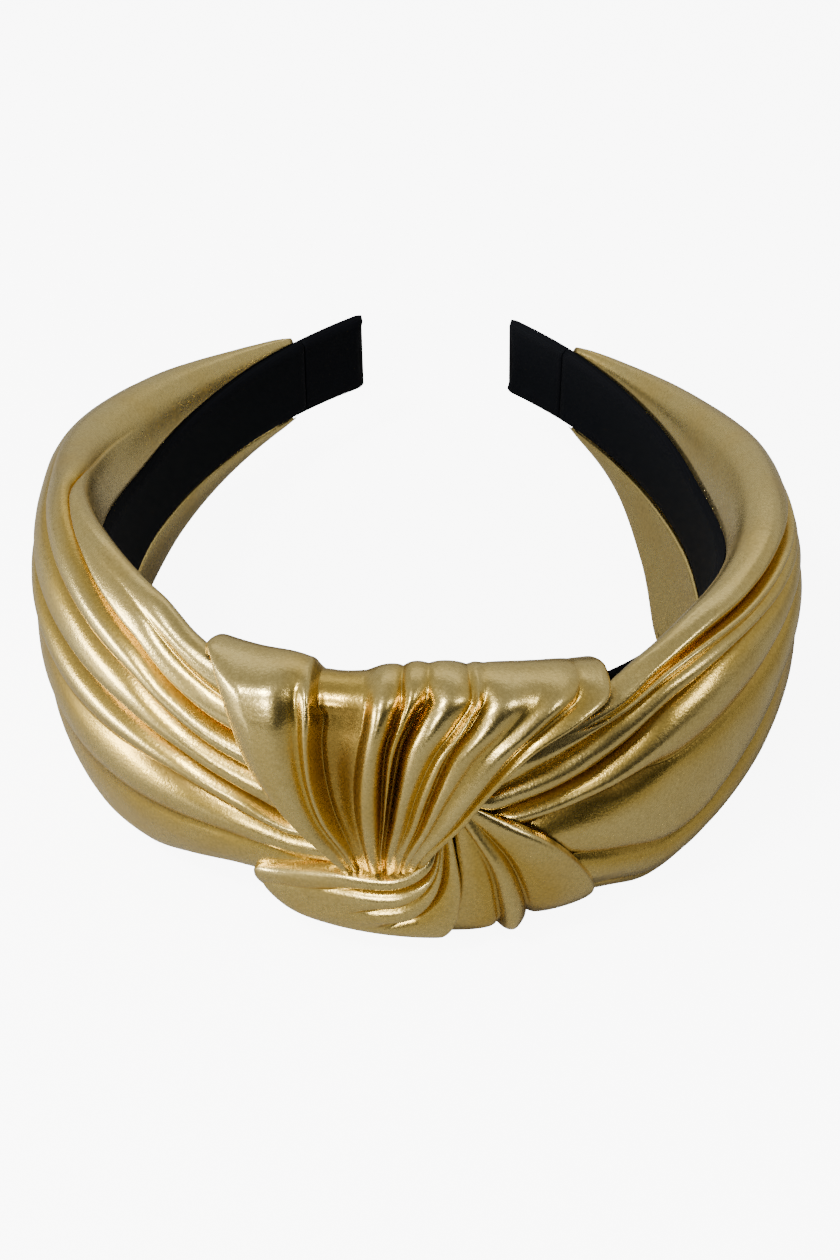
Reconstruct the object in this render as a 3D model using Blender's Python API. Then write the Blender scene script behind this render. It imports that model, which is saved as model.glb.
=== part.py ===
"""Knot headband, lying on its lower edge: a padded gold headband with a pleated knot at the front.

Metres, +Z up. The band's width runs up Z, the hoop lies round Z, the knot faces -Y and the
two open tips point to +Y. Every soft part is worked in the flat as a blank of columns and
rows, given its wall thickness, and then bent round the hoop.
"""
import bpy
import bmesh
import math
from mathutils import Vector

MM = 0.001

# hoop: the inner face of the band seen from above, a tighter crown arc and a slacker leg arc
crown_radius = 60.0
crown_length = 95.5
leg_radius = 130.0
leg_length = 106.6
front_y = -44.3
half_length = crown_length + leg_length
mid_height = 30.0
leg_droop = 5.5

# walls and clearances
cloth = 1.2
wrap_cloth = 1.4
clearance = 0.45
core_thickness = 3.0
sleeve_wall = 0.6
sleeve_gap = 0.34
sleeve_length = 19.0
sleeve_dip = 1.6
section_power = 2.3
lip_limit = 0.951

# lining half width by share of the half length
CORE_WIDTH = {"share": (0.0, 0.35, 0.62, 1.0), "half": (20.0, 18.0, 9.2, 10.3)}

# cover sections: distance from the front, thickness, height above and below the middle,
# inward lean of the upper and of the lower edge
LEFT_SECTION = {
    "at": (0, 15, 25, 35, 45, 60, 90, 115, 140, 165, 182),
    "thick": (12.6, 13.0, 13.4, 13.8, 14.0, 14.4, 16.2, 18.6, 15.2, 9.8, 5.2),
    "top": (25.0, 25.4, 25.8, 28.0, 31.0, 31.4, 27.4, 23.0, 18.8, 14.6, 12.4),
    "bottom": (19.0, 18.6, 19.8, 23.6, 28.4, 31.6, 31.4, 29.8, 23.0, 16.6, 12.4),
    "lean_top": (0, 0, 0.4, 1.8, 3.4, 4.0, 2.0, 0, 0, 0, 0),
    "lean_low": (0, 0, 0.5, 1.0, 1.5, 2.0, 2.0, 1.5, 0.5, 0, 0)}
RIGHT_SECTION = {
    "at": (0, 15, 25, 35, 45, 60, 90, 115, 140, 165, 182),
    "thick": (12.2, 12.4, 13.6, 15.6, 16.4, 17.0, 17.4, 17.0, 12.8, 8.4, 5.2),
    "top": (14.0, 15.0, 17.0, 20.2, 24.0, 26.8, 26.0, 23.0, 18.2, 14.0, 12.4),
    "bottom": (23.0, 24.0, 24.6, 26.6, 30.2, 31.6, 31.4, 29.9, 24.0, 17.0, 12.4),
    "lean_top": (0, 0, 0, 0, 0.5, 1.0, 0.5, 0, 0, 0, 0),
    "lean_low": (0, 0, 0, 0.5, 1.0, 4.0, 12.0, 13.0, 8.0, 2.0, 0)}

# cover folds: angle of each valley round the section, then its depth, at the distances in FOLD_AT
FOLD_AT = (15, 25, 35, 45, 60, 80, 100, 125)
LEFT_FOLDS = (
    ("flap crease", (50, 55, 62, 68, 80, 103, 128, 140), (0.4, 0.7, 0.7, 0.3, 0, 0, 0, 0), 4),
    ("flap edge", (28, 35, 42, 49, 58, 77, 114, 130), (1.6, 2.6, 2.6, 2.4, 2.2, 1.5, 0.8, 0), 3),
    ("soft upper", (12, 20, 27, 31, 36, 46, 60, 75), (0.8, 1.4, 1.4, 1.2, 1.0, 0.7, 0.4, 0), 3),
    ("deep middle", (-2, 7, 12, 13, 15, 20, 28, 35), (1.6, 2.6, 2.6, 2.4, 1.8, 1.2, 0.6, 0), 3),
    ("golden low", (-12, -3, 0, 0, 0, 3, 8, 10), (1.4, 1.8, 1.5, 1.0, 0.7, 0.5, 0.3, 0), 3),
    ("lobe", (-30, -24, -21, -19, -20, -22, -22, -22), (0.6, 0.8, 0.8, 0.7, 0.7, 0.5, 0.3, 0), 3))
RIGHT_FOLDS = (
    ("slope end", (66, 66, 68, 73, 66, 60, 50, 44), (0, 0, 0.4, 1.0, 2.0, 2.0, 1.4, 0), 4),
    ("under ridge", (24, 42, 60, 63, 57, 51, 43, 38), (0.8, 1.2, 1.2, 0.6, 0.5, 0.4, 0.2, 0), 3),
    ("golden", (4, 15, 30, 43, 46, 41, 34, 30), (1.6, 2.2, 2.4, 2.0, 1.2, 0.8, 0.4, 0), 3),
    ("pocket", (-10, -1, 7, 10, 15, 23, 22, 20), (1.0, 1.8, 2.8, 1.2, 1.3, 1.2, 0.6, 0), 3),
    ("outer sweep", (-34, -25, -28, -32, -18, 2, 8, 8), (0.6, 1.0, 1.4, 1.5, 1.5, 1.0, 0.5, 0), 3),
    ("low", (-62, -56, -58, -62, -50, -35, -25, -20), (0, 0.2, 0.4, 0.5, 0.7, 0.7, 0.4, 0), 3))
cover_low_cells = 6
cover_rows = 31

# where each cover stops under the knot: height, distance from the front
LEFT_END = {"height": (8, 12, 16, 20, 26, 33, 43, 51, 58), "at": (14.0, 6.0, 2.5, 3.5, 6.5, 9.5, 15.0, 18.5, 21.5)}
RIGHT_END = {"height": (4, 10, 18, 28, 33, 38, 44, 52), "at": (29.0, 26.5, 22.5, 16.5, 12.5, 9.5, 9.5, 19.0)}
end_dive = 3.0
end_dive_reach = 9.0

# fan: levels from the inside lip over the top edge and down the front to the tip
FAN_LEVELS = {
    "name": ("lip", "back", "crest in", "crest", "brow", "shoulder", "high", "middle", "low", "throat", "tip"),
    "out": (-1.9, -1.9, 1.6, 6.5, 11.9, 14.9, 16.7, 17.4, 17.4, 16.4, 12.0),
    "high": (47.0, 54.0, 60.4, 62.2, 61.0, 57.2, 51.2, 43.4, 35.2, 27.6, 20.0),
    "slope": (0.0, 0.5, 1.0, 1.0, 0.9, 0.5, 0.1, 0.0, 0.0, 0.0, 0.0),
    "fold": (0.0, 0.0, 0.3, 0.5, 0.8, 1.0, 1.0, 1.0, 1.0, 0.8, 0.2)}
# name, distance at each level, drop of the top edge, how far out, depth, share at the top, cells, ridge height
FAN_ROWS = (
    ("left edge", (-32, -32, -31.6, -31, -28.6, -25.4, -23, -19.8, -15.3, -10.6, -6.0), -1.8, -0.7, 0.0, 0.0, 3, 1.0),
    ("left valley", (-18, -18, -17.6, -17.3, -17, -16, -15.6, -14.1, -12.0, -8.8, -4.3), -0.5, 0.0, 1.8, 0.2, 3, 1.0),
    ("hollow left", (-12, -12, -11.6, -11.2, -10.5, -10.3, -10, -9.6, -8.8, -6.8, -3.1), -1.2, 0.0, 3.4, 0.7, 2, 0.2),
    ("hollow right", (-5, -5, -5.2, -5.4, -5.6, -5.4, -5.5, -5.4, -4.9, -4.1, -1.8), -0.6, 0.0, 3.0, 0.2, 3, 1.0),
    ("loop valley", (2, 2, 1.8, 1.6, 1.5, -0.1, -1.2, -1.9, -2.2, -2.2, -1.0), 0.0, 0.0, 2.2, 0.8, 3, 1.0),
    ("dark valley", (7, 7, 6.8, 6.6, 6.4, 4.7, 2.7, 1.0, 0.1, -0.2, -0.2), 0.2, 0.0, 3.4, 0.2, 2, 1.0),
    ("grey valley", (12.5, 12.5, 12.4, 12.2, 12, 8.0, 4.9, 2.8, 1.7, 1.2, 0.5), -0.5, 0.0, 1.6, 0.8, 2, 0.6),
    ("orange crease", (16, 16, 15.4, 15, 14.5, 11.0, 7.9, 5.4, 3.6, 2.4, 1.1), -1.0, 0.2, 1.0, 0.3, 4, 1.0),
    ("edge valley", (31.5, 31.5, 31, 30, 28, 22.6, 17.3, 12.2, 7.9, 4.2, 1.7), -4.4, 0.8, 1.4, 0.3, 2, 0.5),
    ("right edge", (37.5, 37.5, 37, 36, 33, 27.6, 20.3, 14.1, 9.8, 4.9, 2.2), -6.6, 1.1, 0.0, 0.0, 0, 1.0))
fan_rows = 17

# lower wraps: distance, out and height of each fold line at the levels from the inside lip to the end
LOWER_LEVELS = {
    "name": ("lip", "back", "under", "low", "middle", "high", "end"),
    "out": (-1.9, -1.9, 6.0, 13.6, 15.6, 15.4, 12.0),
    "fold": (0.0, 0.0, 0.4, 1.0, 1.0, 0.8, 0.1)}
# name, distance and height at lip..end, how far out, depth, cells, ridge height
ROLL_ROWS = (
    ("crease", (-16, -16, -17.5, -21, -10, 4.2, 4.3), (13, 8, 5.0, 15.0, 17.7, 21.0, 26.0), 0.3, 0.0, 3, 1.0),
    ("upper", (-12, -12, -12.5, -14.5, -4, 5.0, 5.6), (13, 5, 1.6, 9.0, 12.6, 18.6, 28.2), 0.0, 1.0, 3, 1.0),
    ("middle", (-8, -8, -7.5, -5.5, 1.5, 6.4, 6.5), (13, 5, 0, 4.4, 9.2, 17.4, 29.7), 0.0, 1.2, 3, 1.0),
    ("curl", (-2, -2, -1, 1.5, 5.6, 8.2, 7.5), (13, 5, 0, 3.4, 8.6, 17.2, 30.9), 0.0, 1.2, 3, 1.0),
    ("outer", (6.2, 6.2, 6.4, 8.0, 9.8, 10.4, 8.6), (13, 5, 0, 4.0, 10.0, 18.4, 31.8), 0.0, 0.0, 0, 1.0))
TAIL_ROWS = (
    ("left edge", (7.4, 7.4, 7.6, 8.2, 8.9, 9.2, 8.4), (13, 5, 0, 3.6, 11.0, 20.0, 31.5), -2.9, 0.0, 3, 0.7),
    ("first", (17, 17, 17, 17.3, 16.4, 14.0, 10.0), (13, 5, 0, 4.0, 12.0, 22.0, 32.6), 0.0, 1.6, 3, 1.0),
    ("second", (23.5, 23.5, 23.5, 22.9, 20.8, 16.8, 11.4), (13, 5, 0, 6.4, 14.6, 24.0, 33.6), 0.3, 1.6, 4, 1.0),
    ("right edge", (30, 30, 30.4, 32.4, 27.5, 21.0, 12.4), (13, 5, 0.6, 8.6, 20.4, 29.0, 34.8), 1.4, 0.0, 0, 1.0))
lower_rows = 14


def between(x, xs, ys):
    """smooth curve through the table's points, never overshooting them"""
    if x <= xs[0]:
        return ys[0]
    if x >= xs[-1]:
        return ys[-1]
    k = max(i for i in range(len(xs) - 1) if xs[i] <= x)

    def steep(i):
        if i == 0 or i == len(xs) - 1:
            return 0.0
        a = (ys[i] - ys[i - 1]) / (xs[i] - xs[i - 1])
        b = (ys[i + 1] - ys[i]) / (xs[i + 1] - xs[i])
        return 0.0 if a * b <= 0 else 2 * a * b / (a + b)
    span = xs[k + 1] - xs[k]
    t = (x - xs[k]) / span
    m0 = steep(k) * span if k else ys[k + 1] - ys[k]
    m1 = steep(k + 1) * span if k + 1 < len(xs) - 1 else ys[k + 1] - ys[k]
    return ((2 * t ** 3 - 3 * t ** 2 + 1) * ys[k] + (t ** 3 - 2 * t ** 2 + t) * m0
            + (3 * t ** 2 - 2 * t ** 3) * ys[k + 1] + (t ** 3 - t ** 2) * m1)


def hoop(at):
    """point on the band's inner face and its outward direction, at a signed distance"""
    side, a = (1 if at >= 0 else -1), abs(at)
    turn = min(a, crown_length) / crown_radius
    x = crown_radius * math.sin(turn)
    y = front_y + crown_radius * (1 - math.cos(turn))
    if a > crown_length:
        more = turn + (a - crown_length) / leg_radius
        x += leg_radius * (math.sin(more) - math.sin(turn))
        y += leg_radius * (math.cos(turn) - math.cos(more))
        turn = more
    return Vector((side * x, y, 0)), Vector((side * math.sin(turn), -math.cos(turn), 0))


def place(at, out, high):
    p, n = hoop(at)
    p = p + n * out
    return Vector((p.x, p.y, high)) * MM


def middle(at):
    return mid_height - leg_droop * max(0.0, (abs(at) / half_length - 0.4) / 0.6)


def core_half(at):
    return between(abs(at) / half_length, CORE_WIDTH["share"], CORE_WIDTH["half"])


def power(value):
    return math.copysign(abs(value) ** (2 / section_power), value)


def valley(distance, reach):
    """1 in the crease, easing to 0 on the round ridge beside it"""
    return 1 - math.sin(math.pi / 2 * min(1.0, distance / reach)) ** 0.8


def gold_material(name):
    mat = bpy.data.materials.new(name)
    mat.use_nodes = True
    bsdf = mat.node_tree.nodes["Principled BSDF"]
    bsdf.inputs["Base Color"].default_value = (0.62, 0.46, 0.21, 1)
    bsdf.inputs["Roughness"].default_value = 0.34
    bsdf.inputs["Metallic"].default_value = 0.9
    return mat


def black_material(name):
    mat = bpy.data.materials.new(name)
    mat.use_nodes = True
    bsdf = mat.node_tree.nodes["Principled BSDF"]
    bsdf.inputs["Base Color"].default_value = (0.008, 0.01, 0.018, 1)
    bsdf.inputs["Roughness"].default_value = 0.8
    bsdf.inputs["Metallic"].default_value = 0.0
    return mat


def finish(bm, name, material):
    bmesh.ops.triangulate(bm, faces=bm.faces[:], quad_method="BEAUTY")
    if bm.calc_volume(signed=True) < 0:
        bmesh.ops.reverse_faces(bm, faces=bm.faces[:])
    mesh = bpy.data.meshes.new(name)
    bm.to_mesh(mesh)
    bm.free()
    obj = bpy.data.objects.new(name, mesh)
    mesh.materials.append(material)
    bpy.context.scene.collection.objects.link(obj)
    return obj


def blank(columns, rows):
    """flat blank of columns x rows with a wall: x and y run 0..1, z is 0 outside and 1 inside"""
    bm = bmesh.new()
    bmesh.ops.create_grid(bm, x_segments=columns, y_segments=rows, size=0.5)
    for v in bm.verts:
        v.co = Vector((v.co.x + 0.5, v.co.y + 0.5, 0))
    made = bmesh.ops.extrude_face_region(bm, geom=bm.faces[:])
    for v in made["geom"]:
        if isinstance(v, bmesh.types.BMVert):
            v.co.z = 1
    return bm


def cover(name, side, section, folds, end):
    """one padded half of the band: an open shell that folds over both edges of the core"""
    cells = [f[3] for f in folds] + [cover_low_cells]
    columns, last = sum(cells), half_length - sleeve_length - 2.0

    def size(key, at):
        return between(at, section["at"], section[key])

    def lip(at, key, depth):
        share = (core_half(at) + clearance) / (size(key, at) - cloth * depth)
        return 180 - math.degrees(math.asin(min(lip_limit, share ** (section_power / 2))))

    def angles(at, depth):
        """lip, every valley, lip"""
        top = lip(at, "top", depth)
        ladder = [top]
        guard = lip(at, "top", 1)
        for f in folds:
            guard = min(guard - 5, between(at, FOLD_AT, f[1]))
            ladder.append(guard)
        ladder.append(-lip(at, "bottom", depth))
        return ladder

    def column_angle(k, at, depth):
        ladder = angles(at, depth)
        for band, n in enumerate(cells):
            if k <= n:
                t = k / n
                if band == 0:
                    t = t ** 0.8
                return ladder[band] + (ladder[band + 1] - ladder[band]) * t
            k -= n
        return ladder[-1]

    def sink(angle, at):
        ladder = angles(at, 1)[1:-1]
        deep = 0.0
        for i, f in enumerate(folds):
            away = angle - ladder[i]
            near = ladder[i - 1] - ladder[i] if away > 0 and i else 28
            if away < 0:
                near = ladder[i] - ladder[i + 1] if i + 1 < len(folds) else 28
            reach = min(16.0, near / 2)
            deep = max(deep, between(at, FOLD_AT, f[2]) * valley(abs(away), reach))
        return deep

    def surface(k, along, depth):
        at = last + (25.0 - last) * along
        for _ in range(3):
            angle = column_angle(k, at, depth)
            high = size("top" if angle >= 0 else "bottom", at) * power(math.sin(math.radians(angle)))
            stop = between(middle(at) + high, end["height"], end["at"])
            at = last + (stop - last) * along ** 0.9
        angle = column_angle(k, at, depth)
        up = angle >= 0
        c, s = math.cos(math.radians(angle)), math.sin(math.radians(angle))
        thick = size("thick", at)
        tall = size("top" if up else "bottom", at)
        half = thick / 2
        out = half + (half - cloth * depth) * power(c)
        high = (tall - cloth * depth) * power(s)
        lean = size("lean_top" if up else "lean_low", at)
        out -= lean * abs(power(s)) ** 3
        deep = sink(angle, at)
        dive = max(0.0, 1 - (at - stop) / end_dive_reach)
        deep += end_dive * dive * dive * (3 - 2 * dive) * max(0.0, c)
        flat = math.hypot(c * tall, s * half)
        out -= deep * abs(c) * tall / flat if c > 0 else 0
        high -= deep * s * half / flat
        floor = cloth * depth
        return place(side * at, out, max(floor, middle(at) + high))

    bm = blank(columns, cover_rows)
    for v in bm.verts:
        v.co = surface(round(v.co.x * columns), v.co.y, round(v.co.z))
    return finish(bm, name, gold_material(name + " gold"))


def spline(points, t):
    """smooth curve through evenly counted points"""
    n = len(points) - 1
    k = min(n - 1, max(0, int(t)))
    f = t - k
    p = [points[min(n, max(0, k + j))] for j in (-1, 0, 1, 2)]
    return tuple(0.5 * (2 * b + (c - a) * f + (2 * a - 5 * b + 4 * c - d) * f * f
                        + (3 * b - 3 * c + d - a) * f ** 3) for a, b, c, d in zip(*p))


def wrap(name, lines, cells, depth_at, rises, rows, face):
    """pleated wrap: fold lines run from the inside lip over an edge of the band to the tucked end"""
    columns = sum(cells)
    steps = len(lines[0]) - 1

    def base(across, along):
        t = along * steps
        row = [spline(line, t) for line in lines]
        at, out, high = spline(row, across)
        return place(at, out, high)

    def column(k):
        for band, n in enumerate(cells):
            if k <= n:
                return band, k / n
            k -= n
        return len(cells) - 1, 1.0

    def surface(k, along, depth):
        band, f = column(k)
        across = band + f
        a0, a1 = max(0, across - 0.35), min(len(lines) - 1, across + 0.35)
        b0, b1 = max(0, along - 0.03), min(1, along + 0.03)
        du = base(a1, along) - base(a0, along)
        dv = base(across, b1) - base(across, b0)
        n = du.cross(dv) * face
        n.normalize()
        left, right = depth_at(band, along), depth_at(band + 1, along)
        ridge = math.sin(math.pi * f) ** 0.8 * rises[band] if 0 < f < 1 else 0.0
        deep = (left * (1 - f) + right * f) * (1 - ridge)
        if band == 0:
            deep = right * valley(1 - f, 1) * 1.0
        if band == len(cells) - 1:
            deep = left * valley(f, 1)
        p = base(across, along) + n * MM * -(deep + wrap_cloth * depth)
        p.z = max(wrap_cloth * depth * MM, p.z)
        return p

    bm = blank(columns, rows)
    for v in bm.verts:
        v.co = surface(round(v.co.x * columns), v.co.y, round(v.co.z))
    return finish(bm, name, gold_material(name + " gold"))


def knot_fan():
    lines = []
    for row in FAN_ROWS:
        lines.append([(row[1][i], FAN_LEVELS["out"][i] + row[3] * (3 < i < 10),
                       FAN_LEVELS["high"][i] + row[2] * FAN_LEVELS["slope"][i])
                      for i in range(len(FAN_LEVELS["out"]))])
    steps = len(FAN_LEVELS["out"]) - 1

    def depth_at(i, along):
        share = spline([(f,) for f in FAN_LEVELS["fold"]], along * steps)[0]
        top = FAN_ROWS[i][5] if along * steps < 4 else 1.0
        blend = min(1.0, max(0.0, along * steps - 3.5))
        top = FAN_ROWS[i][5] * (1 - blend) + blend
        return FAN_ROWS[i][4] * max(0.0, share) * top
    return wrap("knot_fan", lines, [r[6] for r in FAN_ROWS[:-1]], depth_at,
                [r[7] for r in FAN_ROWS], fan_rows, -1)


def lower_wrap(name, table):
    lines = []
    for row in table:
        lines.append([(row[1][i], LOWER_LEVELS["out"][i] + row[3] * (0, 0, 0, 1, 1, 1, 0.86)[i], row[2][i])
                      for i in range(len(LOWER_LEVELS["out"]))])
    steps = len(LOWER_LEVELS["out"]) - 1

    def depth_at(i, along):
        share = spline([(f,) for f in LOWER_LEVELS["fold"]], along * steps)[0]
        return table[i][4] * max(0.0, share)
    return wrap(name, lines, [r[5] for r in table[:-1]], depth_at, [r[6] for r in table],
                lower_rows, 1)


def tube(name, loops, material):
    """closed bar: a ring of points carried through every loop and capped at both ends"""
    bm = bmesh.new()
    ring = bmesh.ops.create_circle(bm, cap_ends=False, radius=1, segments=len(loops[0]))["verts"]
    for v, co in zip(ring, loops[0]):
        v.co = co
    bm.faces.new(ring)
    edges = [e for e in bm.edges]
    for loop in loops[1:]:
        made = bmesh.ops.extrude_edge_only(bm, edges=edges)["geom"]
        verts = [g for g in made if isinstance(g, bmesh.types.BMVert)]
        edges = [g for g in made if isinstance(g, bmesh.types.BMEdge)]
        order = {}
        for e in bm.edges:
            a, b = e.verts
            if (a in verts) != (b in verts):
                new, old = (a, b) if a in verts else (b, a)
                order[old] = new
        ring = [order[v] for v in ring]
        for v, co in zip(ring, loop):
            v.co = co
    bm.faces.new(ring)
    bmesh.ops.recalc_face_normals(bm, faces=bm.faces[:])
    return finish(bm, name, material)


def bar_ring(at, inner, outer, half, dip=0.0):
    """ring of points round a flat bar with eased corners; dip draws the middle of an end inward"""
    ease = 0.3 * min(1.0, (outer - inner) / 2)
    heights = (-1.0, -0.5, 0.0, 0.5, 1.0)
    points = []
    for h in heights:
        points.append((h * (half - ease), inner))
    points.append((half, (inner + outer) / 2))
    for h in reversed(heights):
        points.append((h * (half - ease), outer))
    points.append((-half, (inner + outer) / 2))
    ring = []
    for h, o in points:
        back = dip * (1 - (h / half) ** 2)
        ring.append(place(at - math.copysign(back, at), o, middle(at) + h))
    return ring


def band_core():
    step_at = half_length - sleeve_length
    tongue_end = half_length - sleeve_dip - 1.4
    t0, t1 = sleeve_wall + sleeve_gap, core_thickness - sleeve_wall - sleeve_gap
    shrink = sleeve_wall + sleeve_gap
    loops = [bar_ring(-tongue_end, t0, t1, core_half(tongue_end) - shrink),
             bar_ring(-step_at, t0, t1, core_half(step_at) - shrink)]
    count = 38
    for i in range(count + 1):
        at = -step_at + 2 * step_at * i / count
        loops.append(bar_ring(at, 0.0, core_thickness, core_half(at)))
    loops.append(bar_ring(step_at, t0, t1, core_half(step_at) - shrink))
    loops.append(bar_ring(tongue_end, t0, t1, core_half(tongue_end) - shrink))
    return tube("band_core", loops, black_material("band_core black"))


def tip_sleeve(name, side):
    near = half_length - sleeve_length + clearance
    deep = half_length - sleeve_dip - 1.0
    loops = [bar_ring(side * deep, sleeve_wall, core_thickness - sleeve_wall,
                      core_half(deep) - sleeve_wall)]
    loops.append(bar_ring(side * near, sleeve_wall, core_thickness - sleeve_wall,
                          core_half(near) - sleeve_wall))
    for i in range(4):
        at = near + (half_length - near) * i / 3
        loops.append(bar_ring(side * at, 0.0, core_thickness, core_half(at), sleeve_dip * (i == 3)))
    return tube(name, loops, black_material(name + " black"))


for old in list(bpy.data.objects):
    bpy.data.objects.remove(old, do_unlink=True)

parts = [band_core(),
         tip_sleeve("tip_sleeve_left", -1),
         tip_sleeve("tip_sleeve_right", 1),
         cover("cover_left", -1, LEFT_SECTION, LEFT_FOLDS, LEFT_END),
         cover("cover_right", 1, RIGHT_SECTION, RIGHT_FOLDS, RIGHT_END),
         knot_fan(),
         lower_wrap("knot_roll", ROLL_ROWS),
         lower_wrap("knot_tail", TAIL_ROWS)]

low = Vector((1e9, 1e9, 1e9))
far = Vector((-1e9, -1e9, -1e9))
for obj in parts:
    for v in obj.data.vertices:
        for i in range(3):
            low[i] = min(low[i], v.co[i])
            far[i] = max(far[i], v.co[i])
shift = Vector((-(low.x + far.x) / 2, -(low.y + far.y) / 2, -low.z))
for obj in parts:
    for v in obj.data.vertices:
        v.co += shift
print("size mm", [round((far[i] - low[i]) / MM, 2) for i in range(3)])
print("hoop origin shift mm", [round(c / MM, 3) for c in shift])
for obj in parts:
    print(obj.name, "triangles", len(obj.data.polygons))
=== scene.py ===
# %% [markdown]
# # A gold knot headband
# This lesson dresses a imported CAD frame: a padded headband of metallic gold faux leather, with
# a pleated knot at the front and a hoop lined in black cloth, lying on its lower edge.
# The real band is made of flat blanks that are folded over a springy hoop, so each piece of
# leather here starts as a flat blank too, gets its wall, and is then bent round the hoop.
# That is easier to keep true than pushing a ready tube about, because a fold is one column of
# the blank and stays one fold from end to end.

# %% load the frame
import bpy
import bmesh
import math
import numpy as np
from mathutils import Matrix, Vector


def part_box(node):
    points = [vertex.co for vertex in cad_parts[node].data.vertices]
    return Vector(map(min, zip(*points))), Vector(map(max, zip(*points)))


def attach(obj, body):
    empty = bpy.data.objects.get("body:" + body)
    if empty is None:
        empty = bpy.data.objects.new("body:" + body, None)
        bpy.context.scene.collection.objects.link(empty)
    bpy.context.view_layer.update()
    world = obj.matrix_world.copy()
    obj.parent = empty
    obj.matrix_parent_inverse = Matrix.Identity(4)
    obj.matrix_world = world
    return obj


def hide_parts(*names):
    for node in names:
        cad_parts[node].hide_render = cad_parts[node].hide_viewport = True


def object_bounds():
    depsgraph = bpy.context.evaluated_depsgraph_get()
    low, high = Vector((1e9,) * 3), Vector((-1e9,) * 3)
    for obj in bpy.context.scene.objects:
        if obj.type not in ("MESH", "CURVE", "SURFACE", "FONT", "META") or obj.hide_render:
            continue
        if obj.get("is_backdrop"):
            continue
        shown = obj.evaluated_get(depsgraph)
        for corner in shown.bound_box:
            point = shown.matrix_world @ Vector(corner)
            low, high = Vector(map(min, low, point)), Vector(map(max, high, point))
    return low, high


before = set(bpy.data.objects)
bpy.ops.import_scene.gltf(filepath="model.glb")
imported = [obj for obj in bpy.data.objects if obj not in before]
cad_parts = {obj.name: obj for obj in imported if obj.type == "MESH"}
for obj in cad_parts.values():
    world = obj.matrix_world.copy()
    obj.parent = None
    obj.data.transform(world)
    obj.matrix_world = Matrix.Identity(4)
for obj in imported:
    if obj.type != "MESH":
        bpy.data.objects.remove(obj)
cad_low, cad_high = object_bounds()
MM = 0.001
print("frame nodes", sorted(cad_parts))

# %% [markdown]
# ## The hoop
# Seen from above the band follows a tight crown arc and then a slacker leg arc on each side.
# Every piece is measured in the band's own coordinates: how far along the hoop from the
# front, how far out from its inner face, and how high above the floor. They could be given in
# x, y and z instead, but then every fold would need its own trigonometry.

# %% hoop coordinates
CROWN_RADIUS, CROWN_LENGTH = 60.0, 95.5
LEG_RADIUS, LEG_LENGTH = 130.0, 106.6
FRONT_Y = -44.3
HALF_LENGTH = CROWN_LENGTH + LEG_LENGTH
MID_HEIGHT, LEG_DROOP, DROOP_START = 30.0, 5.5, 0.4
CORE_THICKNESS = 3.0
CORE_WIDTH = {"share": (0.0, 0.35, 0.62, 1.0), "half": (20.0, 18.0, 9.2, 10.3)}
SLEEVE_LENGTH, SLEEVE_WALL, SLEEVE_DIP = 19.0, 0.6, 1.6

core_low, core_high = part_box("band_core")
SHIFT = np.array([(core_low.x + core_high.x) / 2 / MM,
                  core_low.y / MM - (FRONT_Y - CORE_THICKNESS), 0.0])
print("hoop shift mm", SHIFT.round(3))


def hoop(at):
    """point of the inner face and its outward direction, at signed distances from the front"""
    side, run = np.where(at >= 0, 1.0, -1.0), np.abs(at)
    turn = np.minimum(run, CROWN_LENGTH) / CROWN_RADIUS
    more = turn + np.maximum(run - CROWN_LENGTH, 0) / LEG_RADIUS
    x = CROWN_RADIUS * np.sin(turn) + LEG_RADIUS * (np.sin(more) - np.sin(turn))
    y = (FRONT_Y + CROWN_RADIUS * (1 - np.cos(turn))
         + LEG_RADIUS * (np.cos(turn) - np.cos(more)))
    return side * x, y, side * np.sin(more), -np.cos(more)


def place(at, out, high):
    """point at a distance along the hoop, a distance out and a height"""
    x, y, nx, ny = hoop(at)
    return np.stack([x + nx * out, y + ny * out, high + 0 * x], axis=-1)


def between(x, xs, ys):
    """smooth curve through the table's points, never overshooting them"""
    xs, ys = np.asarray(xs, float), np.asarray(ys, float)
    x = np.clip(x, xs[0], xs[-1])
    steep = np.diff(ys) / np.diff(xs)
    both = steep[:-1] * steep[1:]
    total = steep[:-1] + steep[1:]
    inner = np.where(both > 0, 2 * both / np.where(both > 0, total, 1), 0)
    slope = np.concatenate([[steep[0]], inner, [steep[-1]]])
    k = np.clip(np.searchsorted(xs, x, side="right") - 1, 0, len(xs) - 2)
    span = xs[k + 1] - xs[k]
    t = (x - xs[k]) / span
    return ((2 * t ** 3 - 3 * t ** 2 + 1) * ys[k] + (t ** 3 - 2 * t ** 2 + t) * slope[k] * span
            + (3 * t ** 2 - 2 * t ** 3) * ys[k + 1] + (t ** 3 - t ** 2) * slope[k + 1] * span)


def middle(at):
    """height of the band's middle line, which droops towards the tips"""
    droop = (np.abs(at) / HALF_LENGTH - DROOP_START) / (1 - DROOP_START)
    return MID_HEIGHT - LEG_DROOP * np.maximum(0, droop)


def core_half(at):
    """half width of the black hoop"""
    return between(np.abs(at) / HALF_LENGTH, CORE_WIDTH["share"], CORE_WIDTH["half"])
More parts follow.
